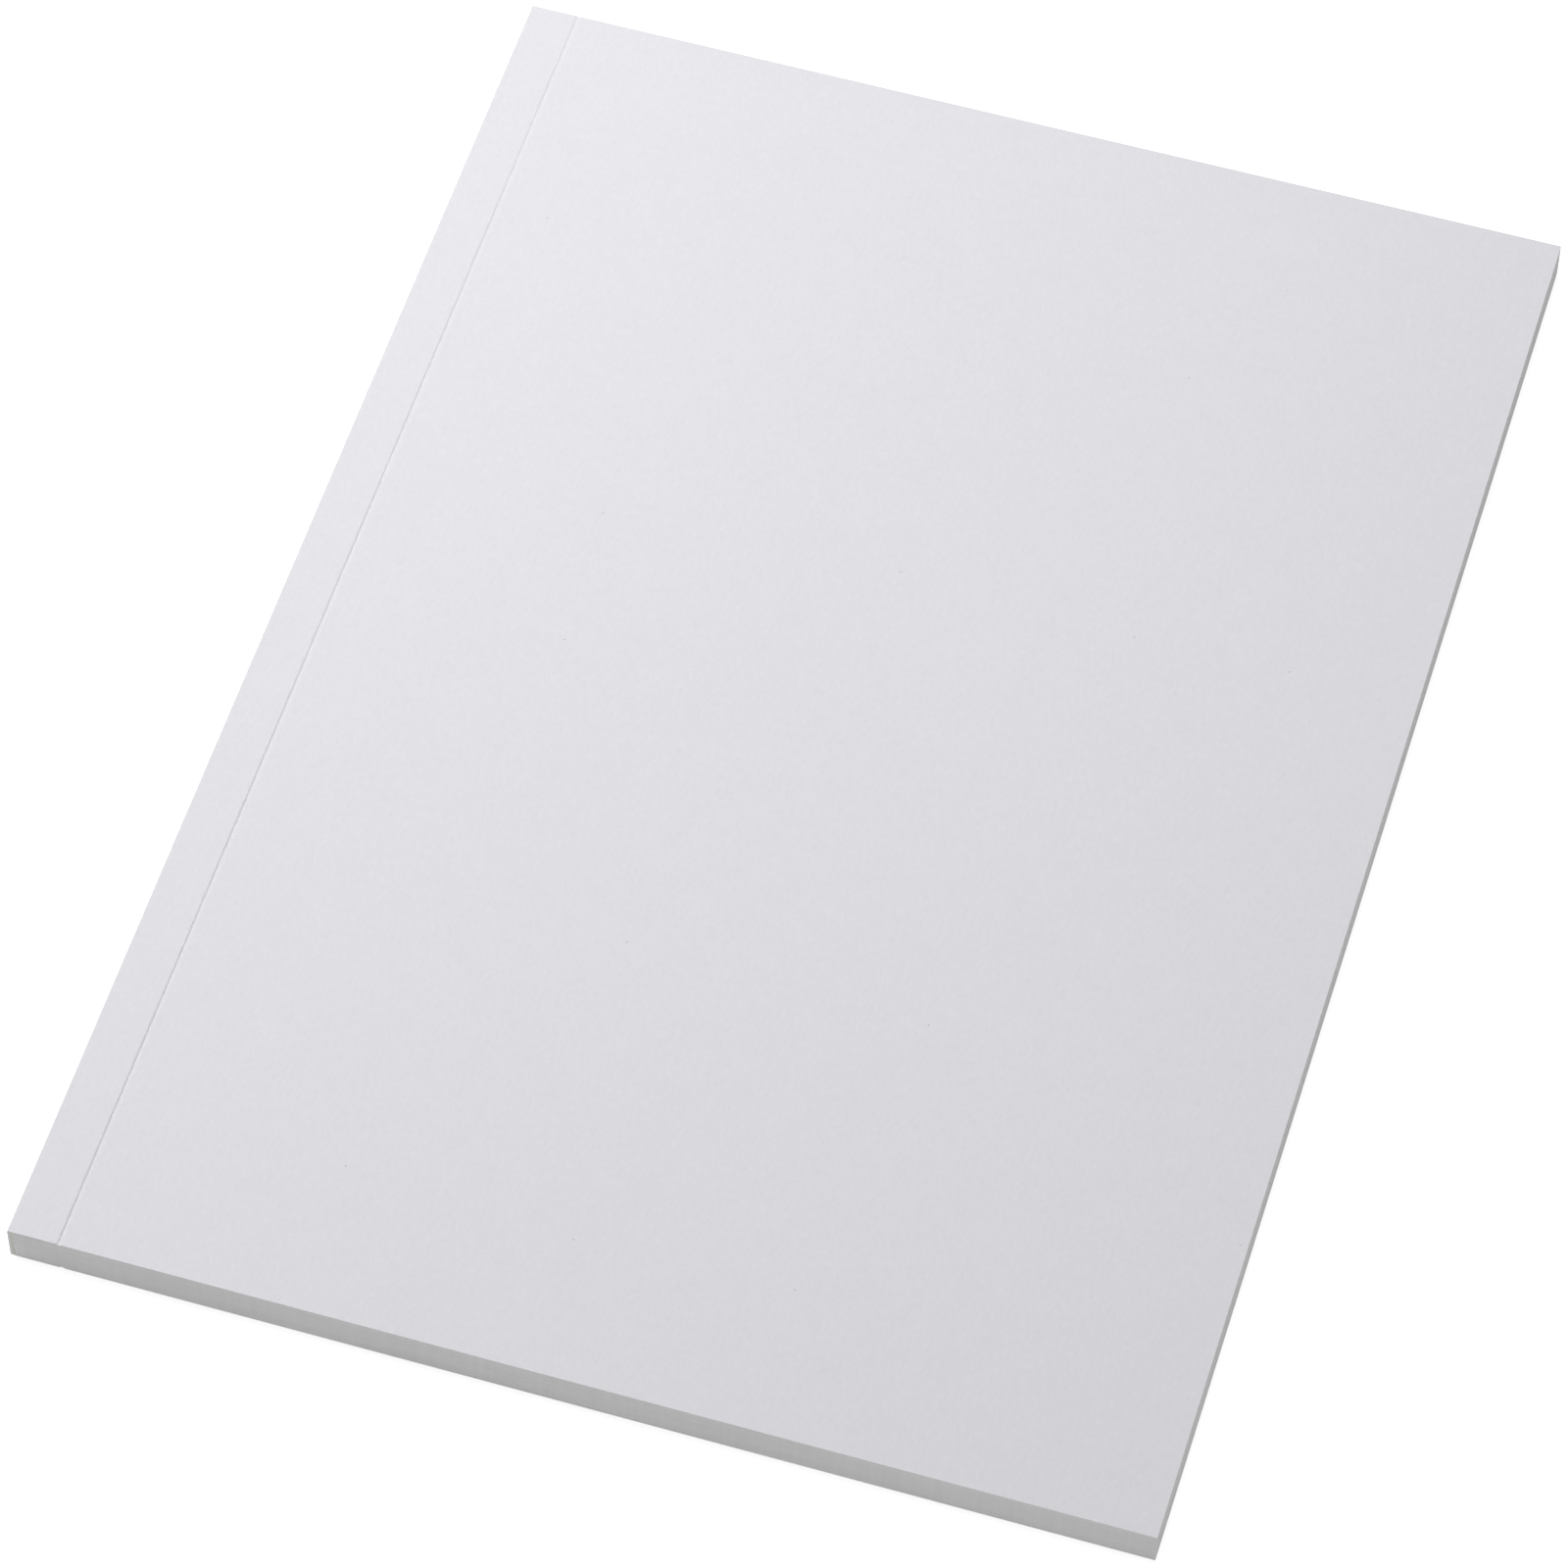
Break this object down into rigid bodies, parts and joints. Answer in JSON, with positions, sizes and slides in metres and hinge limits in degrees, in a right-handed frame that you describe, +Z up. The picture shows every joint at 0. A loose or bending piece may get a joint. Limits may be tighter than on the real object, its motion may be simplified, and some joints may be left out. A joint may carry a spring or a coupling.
{
  "type": "softcover notebook",
  "caption": "Plain perfect-bound softcover notebook, closed: a flush-trimmed block of sheets in a wraparound card cover that opens at a pressed crease on each side.",
  "frame": {"origin": "centre of the underside of the closed notebook, on the back cover", "axes": "+X from the spine to the fore edge, +Y from the tail to the head, +Z up out of the front cover"},
  "size_m": [0.148, 0.21, 0.0056],
  "materials": {
    "cover_card": "smooth uncoated matt card",
    "page_paper": "uncoated offset paper, guillotined edges",
    "binding_glue": "set hot-melt adhesive, satin"
  },
  "bodies": {
    "block": {"page_block": "page_paper", "spine_glue": "binding_glue", "front_side_glue": "binding_glue", "back_side_glue": "binding_glue", "cover_spine": "cover_card"},
    "front": {"front_cover": "cover_card"},
    "back": {"back_cover": "cover_card"}
  },
  "joints": [
    {"name": "front_crease", "type": "hinge", "parent": "block", "child": "front", "pos_m": [-0.0674, 0, 0.0056], "axis": [0, -1, 0], "range_deg": [0, 179.9]},
    {"name": "back_crease", "type": "hinge", "parent": "block", "child": "back", "pos_m": [-0.0674, 0, 0], "axis": [0, 1, 0], "range_deg": [0, 179.9]}
  ]
}
